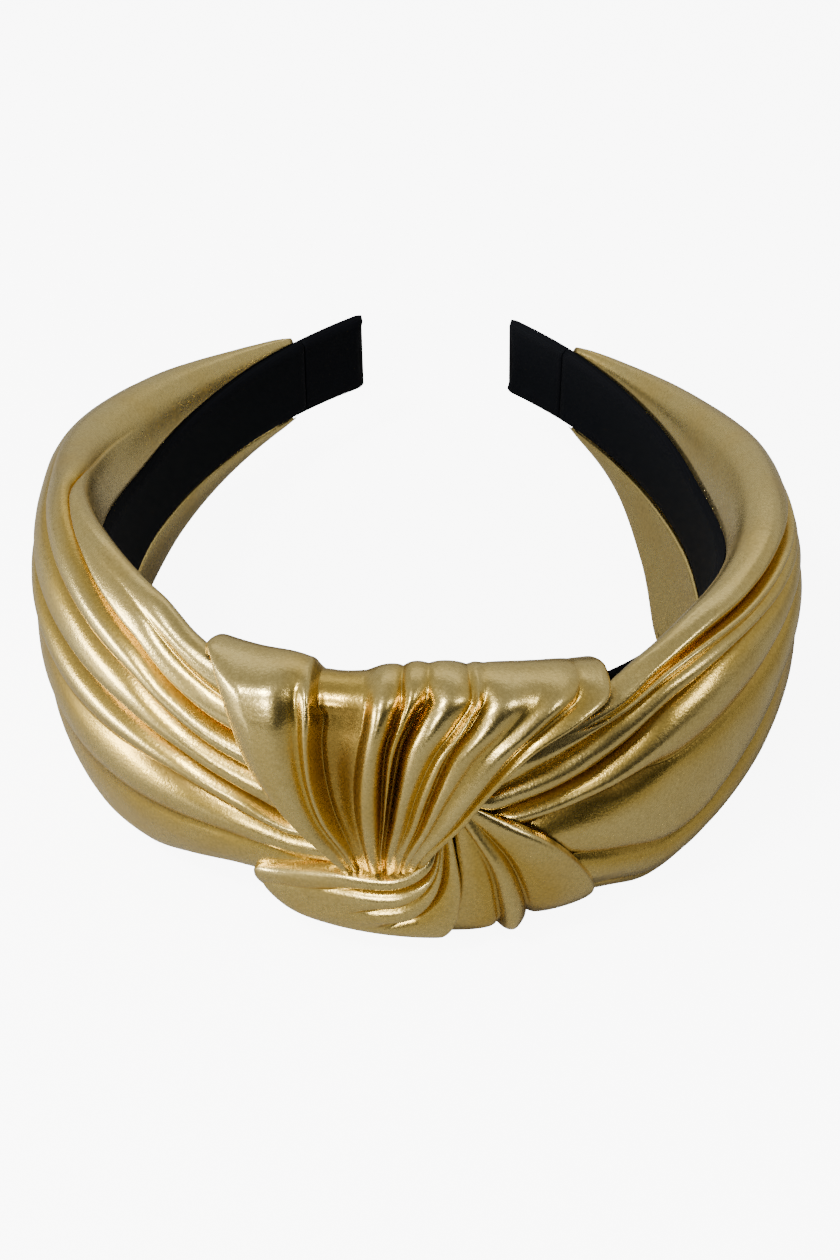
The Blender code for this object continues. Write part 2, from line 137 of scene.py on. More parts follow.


# %% [markdown]
# ## A blank with a wall
# A blank is a grid of cells. Extruding the whole grid once gives the leather its wall: the
# first skin is the outside and the extruded one the inside. A Solidify modifier could make the
# wall, but it goes wrong in tight folds, where the inside of a crease has no room.
# The bent mesh keeps two notes: how deep in a fold each point lies, which the gold uses for its
# painted fold shade, and a UV map of the flat blank in round millimetres, for a pattern that has to run
# along the cloth.

# %% blank and bend
def blank(columns, rows):
    """flat grid from 0 to 1 both ways, with a second skin one unit behind it"""
    bm = bmesh.new()
    bmesh.ops.create_grid(bm, x_segments=columns, y_segments=rows, size=0.5)
    bmesh.ops.translate(bm, verts=bm.verts[:], vec=(0.5, 0.5, 0))
    made = bmesh.ops.extrude_face_region(bm, geom=bm.faces[:])
    inside = [v for v in made["geom"] if isinstance(v, bmesh.types.BMVert)]
    bmesh.ops.translate(bm, verts=inside, vec=(0, 0, 1))
    return bm


def bend(bm, name, surface, cut):
    """the blank bent by surface(x, y, depth), which gives places in mm and fold depths 0..1;
    cut is the pattern's width and length in mm"""
    flat = np.array([v.co for v in bm.verts], float)
    where, fold = surface(flat[:, 0], flat[:, 1], flat[:, 2])
    for v, co in zip(bm.verts, (where + SHIFT) * MM):
        v.co = co
    uv = bm.loops.layers.uv.new("cut")
    bm.verts.index_update()
    for face in bm.faces:
        for loop in face.loops:
            i = loop.vert.index
            loop[uv].uv = (flat[i, 0] * cut[0], flat[i, 1] * cut[1])
    if bm.calc_volume(signed=True) < 0:
        bmesh.ops.reverse_faces(bm, faces=bm.faces[:])
    area = sum(f.calc_area() for f in bm.faces) / 2
    mesh = bpy.data.meshes.new(name)
    bm.to_mesh(mesh)
    bm.free()
    mesh.shade_smooth()
    note = mesh.attributes.new("fold", "FLOAT", "POINT")
    note.data.foreach_set("value", fold.astype(np.float32))
    piece = bpy.data.objects.new(name, mesh)
    bpy.context.scene.collection.objects.link(piece)
    print(name, "faces", len(mesh.polygons), "one side", round(area * 1e4, 1), "cm2")
    return piece


# %% [markdown]
# ## The two padded covers
# Each half of the band is one blank of leather stretched over foam, gathered into long folds
# that run into the knot. Across the band its section is a soft oval; the folds are valleys
# pressed into that oval. They could be sculpted, but here every valley is a row of numbers:
# its angle round the section and its depth, at a few distances from the front. A reader can
# move one fold without touching the others.

# %% sections and folds of the covers
CLOTH, CLEARANCE, POWER, LIP_LIMIT = 1.2, 0.45, 2.3, 0.951
SLEEVE_GAP = 2.0
LAST = HALF_LENGTH - SLEEVE_LENGTH - SLEEVE_GAP
COVER_CUT = (96.0, 172.0)
COVER_CELLS, COVER_ROWS = (26, 16, 16, 18, 18, 16, 34), 190
SECTION_AT = (0, 15, 25, 35, 45, 60, 90, 115, 140, 165, 182)
LEFT_SECTION = {
    "thick": (12.6, 13.0, 13.4, 13.8, 14.0, 14.4, 16.2, 18.6, 15.2, 8.8, 4.2),
    "top": (25.0, 25.4, 25.8, 28.0, 31.0, 31.4, 27.4, 23.0, 18.6, 13.8, 11.1),
    "bottom": (19.0, 18.6, 19.8, 23.6, 28.4, 31.6, 31.4, 29.8, 22.6, 15.6, 11.3),
    "lean_top": (0, 0, 0.4, 1.8, 3.4, 4.0, 2.0, 0, 0, 0, 0),
    "lean_low": (0, 0, 0.5, 1.0, 1.5, 2.0, 2.0, 1.5, 0.5, 0, 0)}
RIGHT_SECTION = {
    "thick": (12.2, 12.4, 13.6, 15.6, 16.4, 17.0, 17.4, 17.0, 12.8, 8.0, 4.2),
    "top": (14.0, 15.0, 17.0, 20.2, 24.0, 26.8, 26.0, 23.0, 18.2, 13.6, 11.1),
    "bottom": (23.0, 24.0, 24.6, 26.6, 30.2, 31.6, 31.4, 29.9, 23.6, 16.0, 11.3),
    "lean_top": (0, 0, 0, 0, 0.5, 1.0, 0.5, 0, 0, 0, 0),
    "lean_low": (0, 0, 0, 0.5, 1.0, 4.0, 12.0, 13.0, 8.0, 2.0, 0)}
FOLD_AT = (15, 25, 35, 45, 60, 80, 100, 125)
# name, angles, depths, how much steeper the upper side is, pinch of the crease
LEFT_FOLDS = (
    ("flap crease", (50, 55, 62, 68, 80, 103, 128, 140), (0.4, 0.7, 0.7, 0.3, 0, 0, 0, 0), 0.0, 0.2),
    ("flap edge", (28, 35, 42, 49, 58, 77, 114, 130), (1.6, 2.6, 2.6, 2.4, 2.2, 1.3, 0.5, 0), 0.6, 1.0),
    ("soft upper", (12, 20, 27, 31, 36, 46, 60, 75), (0.9, 1.7, 1.8, 1.5, 1.2, 0.7, 0.2, 0), 0.2, 0.6),
    ("deep middle", (-2, 7, 12, 13, 15, 20, 28, 35), (1.6, 2.8, 2.9, 2.6, 2.0, 1.2, 0.4, 0), 0.3, 1.0),
    ("golden low", (-12, -3, 0, 0, 0, 3, 8, 10), (1.6, 2.2, 2.0, 1.4, 0.9, 0.5, 0.2, 0), 0.0, 0.6),
    ("lobe", (-30, -24, -21, -19, -20, -22, -22, -22), (0.6, 0.8, 0.8, 0.7, 0.7, 0.5, 0.3, 0), 0.0, 0.2))
RIGHT_FOLDS = (
    ("slope end", (66, 66, 68, 73, 66, 60, 50, 44), (0, 0, 0.4, 1.0, 2.0, 2.0, 1.4, 0), 0.5, 0.6),
    ("under ridge", (24, 42, 60, 63, 57, 51, 43, 38), (0.8, 1.2, 1.2, 0.6, 0.5, 0.4, 0.2, 0), 0.0, 0.3),
    ("golden", (4, 15, 30, 43, 46, 41, 34, 30), (1.6, 2.2, 2.4, 2.0, 1.2, 0.8, 0.4, 0), 0.0, 0.8),
    ("pocket", (-10, -1, 7, 10, 15, 23, 22, 20), (1.0, 1.8, 2.8, 1.2, 1.3, 1.2, 0.6, 0), 0.0, 0.6),
    ("outer sweep", (-34, -25, -28, -32, -18, 2, 8, 8), (0.6, 1.0, 1.4, 1.5, 1.5, 1.0, 0.5, 0), 0.3, 0.6),
    ("low", (-62, -56, -58, -62, -50, -35, -25, -20), (0, 0.2, 0.4, 0.5, 0.7, 0.7, 0.4, 0), 0.0, 0.2))
LEFT_END = {"height": (8, 12, 16, 20, 26, 33, 43, 51, 58),
            "at": (14.0, 6.0, 2.5, 3.5, 6.5, 9.5, 15.0, 18.5, 21.5)}
RIGHT_END = {"height": (4, 10, 18, 28, 33, 38, 44, 52),
             "at": (29.0, 26.5, 22.5, 16.0, 11.2, 8.6, 8.8, 18.6)}
END_DIVE, END_REACH = 1.3, 6.0
# folds are this much deeper than in the tables, and reach this many degrees to each side
DEEPER, FOLD_REACH, OUTER_REACH = 1.7, 16.0, 28.0
# width of a crease in degrees, its share of depth, and the depth that the fold note calls 1
CREASE_WIDTH, CREASE_DEPTH, FULL_FOLD = 2.2, 0.45, 3.0
# the leather gets thinner near the tips
THIN_FROM, THIN_OVER, THINNER = 150.0, 30.0, 0.45
# the end of a row depends on its height, so its place is worked out in a few rounds
FIRST_GUESS, ROUNDS = 25.0, 4


# %% helpers for folds
RIM_ROLL, RIM_CELLS = 0.86, 4


def power(value):
    """rounds a sine or cosine out towards a box, for the soft oval section"""
    return np.sign(value) * np.abs(value) ** (2 / POWER)


def valley(share):
    """1 in the crease, easing to 0 on the round ridge beside it"""
    return 1 - np.sin(math.pi / 2 * np.clip(share, 0, 1)) ** 0.8


def bands(x, cells):
    """which band between two folds each column lies in, and how far across it, 0..1"""
    edges = np.concatenate([[0], np.cumsum(cells)])
    column = np.round(x * edges[-1])
    band = np.clip(np.searchsorted(edges, column, side="left") - 1, 0, len(cells) - 1)
    return band, (column - edges[band]) / np.asarray(cells)[band]


def gathered(t):
    """columns drawn closer together at both folds of a band"""
    return t - 0.55 * np.sin(2 * math.pi * t) / (2 * math.pi)


def rim(x, columns, y, rows):
    """how far a blank's sides and far end are rolled in, over the last few cells"""
    step = np.minimum(np.minimum(x, 1 - x) * columns, y * rows)
    return RIM_ROLL * np.clip(1 - step / RIM_CELLS, 0, 1) ** 2


def waves(along, across, seed, count=7, stretch=0.02, fine=0.12):
    """long shallow wrinkles: a few slanting waves, the same on every run"""
    rng = np.random.default_rng(seed)
    total = np.zeros_like(across)
    for _ in range(count):
        a = rng.uniform(-stretch, stretch)
        b = rng.uniform(0.4, 1.0) * fine
        total += np.sin(2 * math.pi * (a * along + b * across + rng.uniform()))
    return total / math.sqrt(count)


# %% cover surface
def cover(name, side, section, folds, end, seed):
    """one padded half; side is -1 for the left and 1 for the right"""
    cells, rows = COVER_CELLS, COVER_ROWS
    columns = sum(cells)

    def size(key, at):
        return between(at, SECTION_AT, section[key])

    def lip(at, key, depth):
        share = (core_half(at) + CLEARANCE) / (size(key, at) - CLOTH * depth)
        return 180 - np.degrees(np.arcsin(np.minimum(LIP_LIMIT, share ** (POWER / 2))))

    def ladder(at, depth):
        """angles of the lip, every valley and the other lip"""
        steps, guard = [lip(at, "top", depth)], lip(at, "top", 1)
        for f in folds:
            guard = np.minimum(guard - 5, between(at, FOLD_AT, f[1]))
            steps.append(guard)
        return np.array(steps + [-lip(at, "bottom", depth)])

    def surface(x, y, depth):
        band, t = bands(x, cells)
        t = np.where(band == 0, t ** 0.9, np.where(band == len(folds), t, gathered(t)))
        each = np.arange(len(x))

        def angle_at(at):
            steps = ladder(at, depth)
            return steps[band, each] + (steps[band + 1, each] - steps[band, each]) * t

        at = LAST + (FIRST_GUESS - LAST) * y
        for _ in range(ROUNDS):
            angle = angle_at(at)
            tall = np.where(angle >= 0, size("top", at), size("bottom", at))
            high = middle(at) + tall * power(np.sin(np.radians(angle)))
            stop = between(high, end["height"], end["at"])
            at = LAST + (stop - LAST) * y ** 0.9
        angle = angle_at(at)
        up = angle >= 0
        c, s = np.cos(np.radians(angle)), np.sin(np.radians(angle))
        half = size("thick", at) / 2
        tall = np.where(up, size("top", at), size("bottom", at))
        roll = rim(x, columns, y, rows) * (0.5 - depth)
        thin = 1 - THINNER * np.clip((at - THIN_FROM) / THIN_OVER, 0, 1)
        wall = CLOTH * thin * (depth + roll)
        out = half + (half - wall) * power(c)
        high = (tall - wall) * power(s)
        out -= np.where(up, size("lean_top", at), size("lean_low", at)) * np.abs(power(s)) ** 3

        steps = ladder(at, 1)[1:-1]
        deep, crease = np.zeros_like(at), np.zeros_like(at)
        for i, f in enumerate(folds):
            away = angle - steps[i]
            above = steps[i - 1] - steps[i] if i else OUTER_REACH
            below = steps[i] - steps[i + 1] if i + 1 < len(folds) else OUTER_REACH
            reach = np.minimum(FOLD_REACH, np.where(away > 0, above, below) / 2)
            reach = reach * np.where(away > 0, 1 - 0.6 * f[3], 1.0)
            amount = between(at, FOLD_AT, f[2]) * DEEPER
            deep = np.maximum(deep, amount * valley(np.abs(away) / reach))
            line = np.exp(-(away / CREASE_WIDTH) ** 2)
            crease = np.maximum(crease, f[4] * np.minimum(1, amount) * line)
        fade = np.clip(1.25 - at / 120, 0.12, 1)
        arc = np.radians(angle) * np.sqrt(tall * half)
        ripple = waves(at, arc, seed) * 0.16 * fade
        ripple = ripple + waves(at, arc, seed + 1, count=9, stretch=0.05, fine=0.5) * 0.035
        dive = np.clip(1 - (at - stop) / END_REACH, 0, 1)
        sink = deep + CREASE_DEPTH * crease + ripple * np.where(np.abs(angle) < 110, 1, 0.3)
        sink = sink + END_DIVE * dive * dive * (3 - 2 * dive) * np.maximum(0, c)
        flat = np.hypot(c * tall, s * half)
        out = out - np.where(c > 0, sink * np.abs(c) * tall / flat, 0)
        high = high - sink * s * half / flat
        where = place(side * at, out, np.maximum(CLOTH * depth, middle(at) + high))
        return where, np.clip((deep + 0.6 * crease) / FULL_FOLD, 0, 1)

    piece = bend(blank(columns, rows), name + "_leather", surface, COVER_CUT)
    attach(piece, "root")
    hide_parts(name)
    return piece


cover_left = cover("cover_left", -1, LEFT_SECTION, LEFT_FOLDS, LEFT_END, seed=11)
cover_right = cover("cover_right", 1, RIGHT_SECTION, RIGHT_FOLDS, RIGHT_END, seed=23)

# %% [markdown]
# ## The knot
# The knot is three more blanks: a fan of pleats that comes over the top edge and runs down to a
# point, a roll that curls up under it from the left, and a tail that spreads to the lower
# right. Each blank is laid along fold lines, and each fold line is a few points: how far along
# the hoop, how far out, how high. The points were read off the picture, through the camera at
# the end of this lesson, rounded and then moved. Curves are drawn through them both
# ways, and the pleats stand up between the fold lines. A cloth simulation could crumple a real
# knot, but it would not put the pleats where this knot has them.

# %% fan tables
FAN_OUT = (-1.9, -1.9, 1.6, 6.5, 12.2, 15.3, 16.8, 17.6, 17.4, 15.8, 12.2)
FAN_HIGH = (47.0, 54.0, 60.4, 62.2, 61.2, 57.0, 51.2, 43.4, 35.2, 26.6, 16.5)
FAN_SLOPE = (0.0, 0.5, 1.0, 1.0, 0.9, 0.5, 0.1, 0.0, 0.0, 0.0, 0.0)
FAN_FOLD = (0.0, 0.0, 0.3, 0.5, 0.85, 1.0, 1.0, 1.0, 0.75, 0.3, 0.1)
FAN_FRONT = range(4, 10)
# distance at each level, drop of the top edge, how far out, depth, share at the top, cells to the
# next line, how much the ridge after it rises, sharpness (under 1 a crease, over 1 a trough), pinch
FAN_ROWS = {
    "left edge": ((-32, -32, -31.6, -31, -28.6, -25.6, -23.4, -20.6, -15.8, -9.8, -6.2),
                  -1.8, -2.8, 0.0, 0.0, 14, 1.0, 1.0, 0.0),
    "left crest": ((-24, -24, -23.6, -22.8, -21.4, -19.4, -17.9, -16.0, -12.8, -8.1, -5.3),
                   -1.2, 1.3, 0.0, 0.0, 16, 1.0, 1.0, 0.0),
    "left valley": ((-15.2, -15.2, -14.8, -14.4, -13.6, -12.9, -12.4, -11.5, -9.7, -6.4, -4.4),
                    -0.5, 0.2, 1.5, 0.4, 16, 1.0, 1.7, 0.0),
    "hollow left": ((-12, -12, -11.4, -10.8, -9.8, -9.4, -9.6, -9.2, -7.8, -5.3, -3.7),
                    -2.0, 0.0, 4.4, 0.7, 18, -0.15, 0.7, 1.0),
    "hollow right": ((-5, -5, -4.6, -4.2, -3.9, -3.9, -4.4, -4.9, -4.6, -3.5, -2.6),
                     -1.6, 0.2, 3.0, 0.7, 14, 1.0, 1.4, 0.0),
    "loop valley": ((2, 2, 1.8, 1.6, 1.4, 0.6, -0.4, -0.8, -1.0, -1.3, -1.2),
                    0.0, 0.6, 3.2, 0.7, 10, 0.75, 0.8, 1.0),
    "dark valley": ((6.4, 6.4, 6.2, 5.9, 5.3, 3.5, 1.8, 0.9, 0.2, -0.5, -0.6),
                    0.2, 0.4, 4.2, 0.35, 18, 1.0, 0.9, 0.8),
    "grey valley": ((12.5, 12.5, 12.4, 12.2, 11.8, 9.2, 6.2, 4.0, 2.6, 1.1, 0.6),
                    -0.5, 0.5, 1.4, 1.0, 12, 0.8, 0.9, 0.5),
    "orange crease": ((16, 16, 15.4, 14.6, 13.6, 11.4, 8.3, 6.1, 4.3, 2.2, 1.4),
                      -1.0, 0.6, 2.0, 0.3, 14, 1.0, 1.0, 0.8),
    "soft valley": ((24, 24, 23.6, 22.6, 20.8, 16.9, 12.6, 9.0, 6.2, 3.4, 2.3),
                    -2.6, 0.8, 0.9, 0.0, 16, 1.0, 1.6, 0.0),
    "edge valley": ((31.5, 31.5, 31, 30, 27.6, 22.3, 17.4, 12.8, 8.8, 4.7, 3.3),
                    -4.4, 0.9, 2.2, 0.3, 12, 0.6, 0.8, 0.8),
    "right edge": ((37.5, 37.5, 37, 36, 32.8, 26.8, 20.2, 14.4, 10.2, 5.8, 4.3),
                   -6.6, 1.1, 0.0, 0.0, 0, 1.0, 1.0, 0.0)}

# %% lower wrap tables
# distance, how far out and height at each level, depth, cells to the next line, ridge, pinch
ROLL_FOLD = (0.0, 0.0, 0.4, 0.9, 1.0, 1.0, 0.9, 0.2)
ROLL_TOP = (1.0, 1.0, 0.15, 0.0, 0.0, 1.0)
ROLL_ROWS = {
    "tucked": ((-17, -17, -18.5, -20, -8.5, 0.8, 5.0, 6.8),
               (-1.9, -1.9, 5.0, 9.2, 11.2, 12.0, 12.0, 11.0),
               (13, 9, 8, 16.2, 20.6, 21.6, 26.8, 29.6), 0.0, 10, 1.0, 0.0),
    "shoulder": ((-16, -16, -17.5, -21.2, -8.3, 1.0, 5.7, 7.2),
                 (-1.9, -1.9, 6.0, 12.4, 14.8, 16.0, 15.4, 12.0),
                 (13, 8, 5.0, 15.0, 20.0, 21.2, 25.4, 30.0), 0.0, 12, 1.0, 0.0),
    "under shoulder": ((-14, -14, -15, -19.8, -7.0, 1.6, 6.3, 7.5),
                       (-1.9, -1.9, 6.0, 13.0, 15.4, 16.2, 15.8, 12.2),
                       (13, 6.5, 3.0, 12.4, 16.8, 18.4, 23.4, 30.3), 1.7, 18, 1.0, 0.6),
    "thin": ((-10, -10, -11, -15.6, -4.2, 2.7, 6.8, 7.9),
             (-1.9, -1.9, 6.0, 13.4, 15.8, 16.4, 15.8, 12.2),
             (13, 5, 1.0, 8.6, 12.2, 14.8, 21.4, 30.6), 1.0, 14, 1.0, 0.9),
    "arc": ((-5, -5, -5.5, -8.0, 0.6, 5.0, 7.9, 8.3),
            (-1.9, -1.9, 6.0, 13.6, 15.6, 16.2, 15.6, 12.2),
            (13, 5, 0, 6.0, 8.6, 11.6, 19.0, 31.0), 2.2, 20, 1.0, 1.0),
    "outer": ((6.2, 6.2, 6.4, 8.0, 9.6, 10.3, 10.4, 8.9),
              (-1.9, -1.9, 6.0, 13.4, 15.2, 15.6, 15.0, 11.8),
              (13, 5, 0, 4.0, 8.0, 13.0, 20.0, 31.8), 0.0, 0, 1.0, 0.0)}
TAIL_FOLD = (0.0, 0.0, 0.4, 1.0, 1.0, 0.8, 0.1)
TAIL_ROWS = {
    "left edge": ((7.4, 7.4, 7.6, 8.2, 8.9, 9.2, 8.4), (-1.9, -1.9, 6.0, 10.7, 12.7, 12.5, 9.5),
                  (13, 5, 0, 3.6, 11.0, 20.0, 31.5), 0.0, 18, 0.7, 0.0),
    "first": ((17, 17, 17, 16.6, 15.8, 14.0, 10.0), (-1.9, -1.9, 6.0, 13.8, 15.8, 15.4, 12.0),
              (13, 5, 0, 4.0, 12.0, 22.0, 32.6), 2.3, 18, 1.0, 1.0),
    "second": ((23.5, 23.5, 23.0, 21.6, 19.9, 16.9, 11.4), (-1.9, -1.9, 6.0, 14.2, 16.2, 15.7, 12.3),
               (13, 5, 0, 6.0, 14.6, 24.0, 33.6), 2.3, 26, 1.0, 1.0),
    "right edge": ((30, 30, 30.4, 32.4, 27.5, 21.0, 12.4), (-1.9, -1.9, 6.0, 13.7, 15.9, 15.7, 12.3),
                   (13, 5, 0.6, 8.6, 20.4, 29.0, 34.8), 0.0, 0, 1.0, 0.0)}
TAIL_TOP = (1.0, 1.0, 1.0, 1.0)
ROLL_SHARP, TAIL_SHARP = 0.8, 0.7


# %% curves through the tables
def spline(points, t):
    """smooth curve through evenly counted points; t counts points"""
    n = len(points) - 1
    k = np.clip(t.astype(int), 0, n - 1)
    f = (t - k).reshape(t.shape + (1,) * (points.ndim - 1))
    a, b, c, d = (points[np.clip(k + j, 0, n)] for j in (-1, 0, 1, 2))
    return 0.5 * (2 * b + (c - a) * f + (2 * a - 5 * b + 4 * c - d) * f * f
                  + (3 * b - 3 * c + d - a) * f ** 3)


def spline_each(rows, t):
    """the same curve where every point brings its own four rows"""
    n = rows.shape[1] - 1
    k = np.clip(t.astype(int), 0, n - 1)
    f = (t - k)[:, None]
    each = np.arange(len(t))
    a, b, c, d = (rows[each, np.clip(k + j, 0, n)] for j in (-1, 0, 1, 2))
    return 0.5 * (2 * b + (c - a) * f + (2 * a - 5 * b + 4 * c - d) * f * f
                  + (3 * b - 3 * c + d - a) * f ** 3)


# %% wrap surface
WRAP_CLOTH, PINCH_WIDTH, WRAP_FULL_FOLD = 1.4, 0.7, 3.4
# steps for the slope of the surface, in lines across and as a share along; levels to blend over
SIDE_STEP, LONG_STEP, BLEND = 0.35, 0.03, 0.9


def wrap(name, lines, cells, folds, depths, top_share, rises, sharp, pinch,
         begin, rows, face, seed, cut, tuck):
    """a pleated blank laid along fold lines; lines holds (distance, out, height) row by level.
    depths, top_share, rises, sharp and pinch go line by line, folds level by level; begin is the
    level where the top share ends, face the side that shows, tuck the radius of both edges"""
    lines = np.array(lines, float)
    steps, last = lines.shape[1] - 1, len(lines) - 1
    levels = lines.transpose(1, 0, 2)
    depths, top_share, rises, sharp, pinch, folds = (
        np.array(a, float) for a in (depths, top_share, rises, sharp, pinch, folds))
    columns = sum(cells)

    def base(across, along):
        return place(*spline_each(spline(levels, along * steps), across).T)

    def surface(x, y, depth):
        band, t = bands(x, cells)
        t = np.where(band == 0, t ** 1.5, np.where(band == last - 1, 1 - (1 - t) ** 1.5, gathered(t)))
        across = band + t
        a0, a1 = np.maximum(0, across - SIDE_STEP), np.minimum(last, across + SIDE_STEP)
        b0, b1 = np.maximum(0, y - LONG_STEP), np.minimum(1, y + LONG_STEP)
        du, dv = base(a1, y) - base(a0, y), base(across, b1) - base(across, b0)
        n = np.cross(du, dv) * face
        n /= np.linalg.norm(n, axis=1, keepdims=True)
        share = np.maximum(0, spline(folds[:, None], y * steps)[:, 0])
        blend = np.clip((y * steps - begin) / BLEND, 0, 1)
        blend = blend * blend * (3 - 2 * blend)

        def depth_at(i):
            return depths[i] * share * (top_share[i] * (1 - blend) + blend)

        left, right = depth_at(band), depth_at(band + 1)
        round_off = sharp[band] * (1 - t) + sharp[band + 1] * t
        wave = np.maximum(0, np.sin(math.pi * np.clip(t, 0, 1)))
        ridge = wave ** np.where(rises[band] > 0, round_off, 1.6) * rises[band]
        deep = (left * (1 - t) + right * t) * (1 - ridge)
        deep = np.where(band == 0, right * (1 - np.sin(math.pi / 2 * (1 - t)) ** sharp[band + 1]), deep)
        deep = np.where(band == last - 1, left * (1 - np.sin(math.pi / 2 * t) ** sharp[band]), deep)
        wide = np.linalg.norm(du, axis=1) / (a1 - a0)
        gap = np.minimum(np.where(band > 0, t, 9), np.where(band < last - 1, 1 - t, 9)) * wide
        near = band + (t >= 0.5)
        line = np.exp(-(gap / PINCH_WIDTH) ** 2)
        crease = line * np.minimum(1, depth_at(near)) * pinch[near] * share
        turned, wall_share = np.zeros_like(x), np.ones_like(x)
        for radius, away in ((tuck[0], across * wide), (tuck[1], (last - across) * wide)):
            u = np.clip(1 - away / radius, 0, 1)
            turned += radius * (1 - np.sqrt(1 - u ** 2)) * np.minimum(1, share * 1.6)
            wall_share -= 0.7 * u
        ripple = waves(y * cut[1], across * 6.0, seed) * 0.10 * share
        roll = rim(x, columns, y, rows) * (0.5 - depth)
        sink = deep + 0.5 * crease + ripple + turned + WRAP_CLOTH * wall_share * (depth + roll)
        where = base(across, y) - n * sink[:, None]
        where[:, 2] = np.maximum(WRAP_CLOTH * depth, where[:, 2])
        return where, np.clip((deep + 0.6 * crease) / WRAP_FULL_FOLD, 0, 1)

    piece = bend(blank(columns, rows), name + "_leather", surface, cut)
    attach(piece, "root")
    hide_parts(name)
    return piece


# %% fan, roll and tail
def fan_lines():
    """points of every fan line: distance, out, height"""
    return [[(row[0][i], FAN_OUT[i] + row[2] * (i in FAN_FRONT), FAN_HIGH[i] + row[1] * FAN_SLOPE[i])
             for i in range(len(FAN_OUT))] for row in FAN_ROWS.values()]


def lower_lines(rows):
    """points of every line of the roll or the tail"""
    return [list(zip(*row[:3])) for row in rows.values()]


def column(rows, i):
    """one value of every row"""
    return [row[i] for row in rows.values()]


knot_fan = wrap(
    "knot_fan", fan_lines(), column(FAN_ROWS, 5)[:-1], FAN_FOLD, depths=column(FAN_ROWS, 3),
    top_share=column(FAN_ROWS, 4), rises=column(FAN_ROWS, 6), sharp=column(FAN_ROWS, 7),
    pinch=column(FAN_ROWS, 8), begin=3.3, rows=150, face=-1, seed=31, cut=(66.0, 74.0), tuck=(2.6, 2.4))
knot_roll = wrap(
    "knot_roll", lower_lines(ROLL_ROWS), column(ROLL_ROWS, 4)[:-1], ROLL_FOLD,
    depths=column(ROLL_ROWS, 3), top_share=ROLL_TOP, rises=column(ROLL_ROWS, 5),
    sharp=[ROLL_SHARP] * len(ROLL_ROWS), pinch=column(ROLL_ROWS, 6), begin=3.6, rows=130, face=1,
    seed=41, cut=(30.0, 52.0), tuck=(0.4, 0.9))
knot_tail = wrap(
    "knot_tail", lower_lines(TAIL_ROWS), column(TAIL_ROWS, 4)[:-1], TAIL_FOLD,
    depths=column(TAIL_ROWS, 3), top_share=TAIL_TOP, rises=column(TAIL_ROWS, 5),
    sharp=[TAIL_SHARP] * len(TAIL_ROWS), pinch=column(TAIL_ROWS, 6), begin=3.3, rows=110, face=1,
    seed=53, cut=(28.0, 50.0), tuck=(0.4, 2.0))

# %% [markdown]
# ## The black hoop and its tip sleeves
# Under the leather runs a flat springy strip covered in black cloth; it shows on the inside and
# at both ends, where a short sleeve of the same cloth closes the tip. Both are a rounded bar:
# a ring of points carried from loop to loop. A bevelled box bent by a modifier would also do,
# but the strip changes its width all the way, and a loop can have its own width.

# %% rounded bar
RING_POINTS, BLUNT = 40, 1.25
CLOTH_CENTRE, CLOTH_RADIUS = 40.0, 75.0


def bar_ring(at, inner, outer, half, dip=0.0, ease=1.0):
    """ring round a flat bar with rounded edges; dip draws the middle of an end inward"""
    turn = np.linspace(0, 2 * math.pi, RING_POINTS, endpoint=False)
    ease = min(ease, (outer - inner) / 2)
    c, s = np.cos(turn), np.sin(turn)
    flat = np.clip(BLUNT * s, -1, 1)
    past = ((np.abs(flat * half) - (half - ease)) / ease).clip(0, 1)
    edge = np.sqrt(np.clip(1 - past ** 2, 0, 1))
    out = (inner + outer) / 2 + np.sign(c) * (outer - inner) / 2 * edge * np.minimum(1, np.abs(c) * 3)
    back = dip * (1 - flat ** 2)
    run = at - math.copysign(1, at) * back
    return place(run, out, middle(run) + flat * half)


def bar(name, loops, replaced):
    """closed bar: one ring extruded to every loop and capped at both ends"""
    bm = bmesh.new()
    ring = bmesh.ops.create_circle(bm, cap_ends=True, radius=1, segments=RING_POINTS)["verts"]
    uv = bm.loops.layers.uv.new("cut")
    for v, co in zip(ring, loops[0]):
        v.co = (co + SHIFT) * MM
    edges = bm.edges[:]
    for loop in loops[1:]:
        made = bmesh.ops.extrude_edge_only(bm, edges=edges)["geom"]
        edges = [g for g in made if isinstance(g, bmesh.types.BMEdge)]
        fresh = {g for g in made if isinstance(g, bmesh.types.BMVert)}
        follow = {}
        for v in fresh:
            for e in v.link_edges:
                if e.other_vert(v) not in fresh:
                    follow[e.other_vert(v)] = v
        ring = [follow[v] for v in ring]
        for v, co in zip(ring, loop):
            v.co = (co + SHIFT) * MM
    bmesh.ops.holes_fill(bm, edges=edges, sides=0)
    bmesh.ops.recalc_face_normals(bm, faces=bm.faces[:])
    for face in bm.faces:
        for corner in face.loops:
            p = np.array(corner.vert.co) / MM - SHIFT
            around = math.atan2(p[0], CLOTH_CENTRE - p[1])
            corner[uv].uv = (p[2], around * CLOTH_RADIUS)
    mesh = bpy.data.meshes.new(name)
    bm.to_mesh(mesh)
    bm.free()
    mesh.shade_smooth()
    piece = bpy.data.objects.new(name, mesh)
    bpy.context.scene.collection.objects.link(piece)
    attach(piece, "root")
    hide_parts(replaced)
    print(name, "faces", len(mesh.polygons))
    return piece


# %% hoop strip and sleeves
TONGUE_GAP, TONGUE_THIN, TONGUE_EASE = 1.4, 0.94, 0.5
SOCKET_GAP, SOCKET_EASE, TIP_ROUND = 1.0, 0.6, 0.5
STRIP_STEPS, SLEEVE_STEPS, TIP_STEPS = 220, 24, 3


def bar_at(at, inset, dip=0.0, ease=1.0):
    """ring of the hoop's own section at a distance, drawn in by inset on every side"""
    half = float(core_half(np.array(abs(at))))
    return bar_ring(at, inset, CORE_THICKNESS - inset, half - inset, dip, ease)


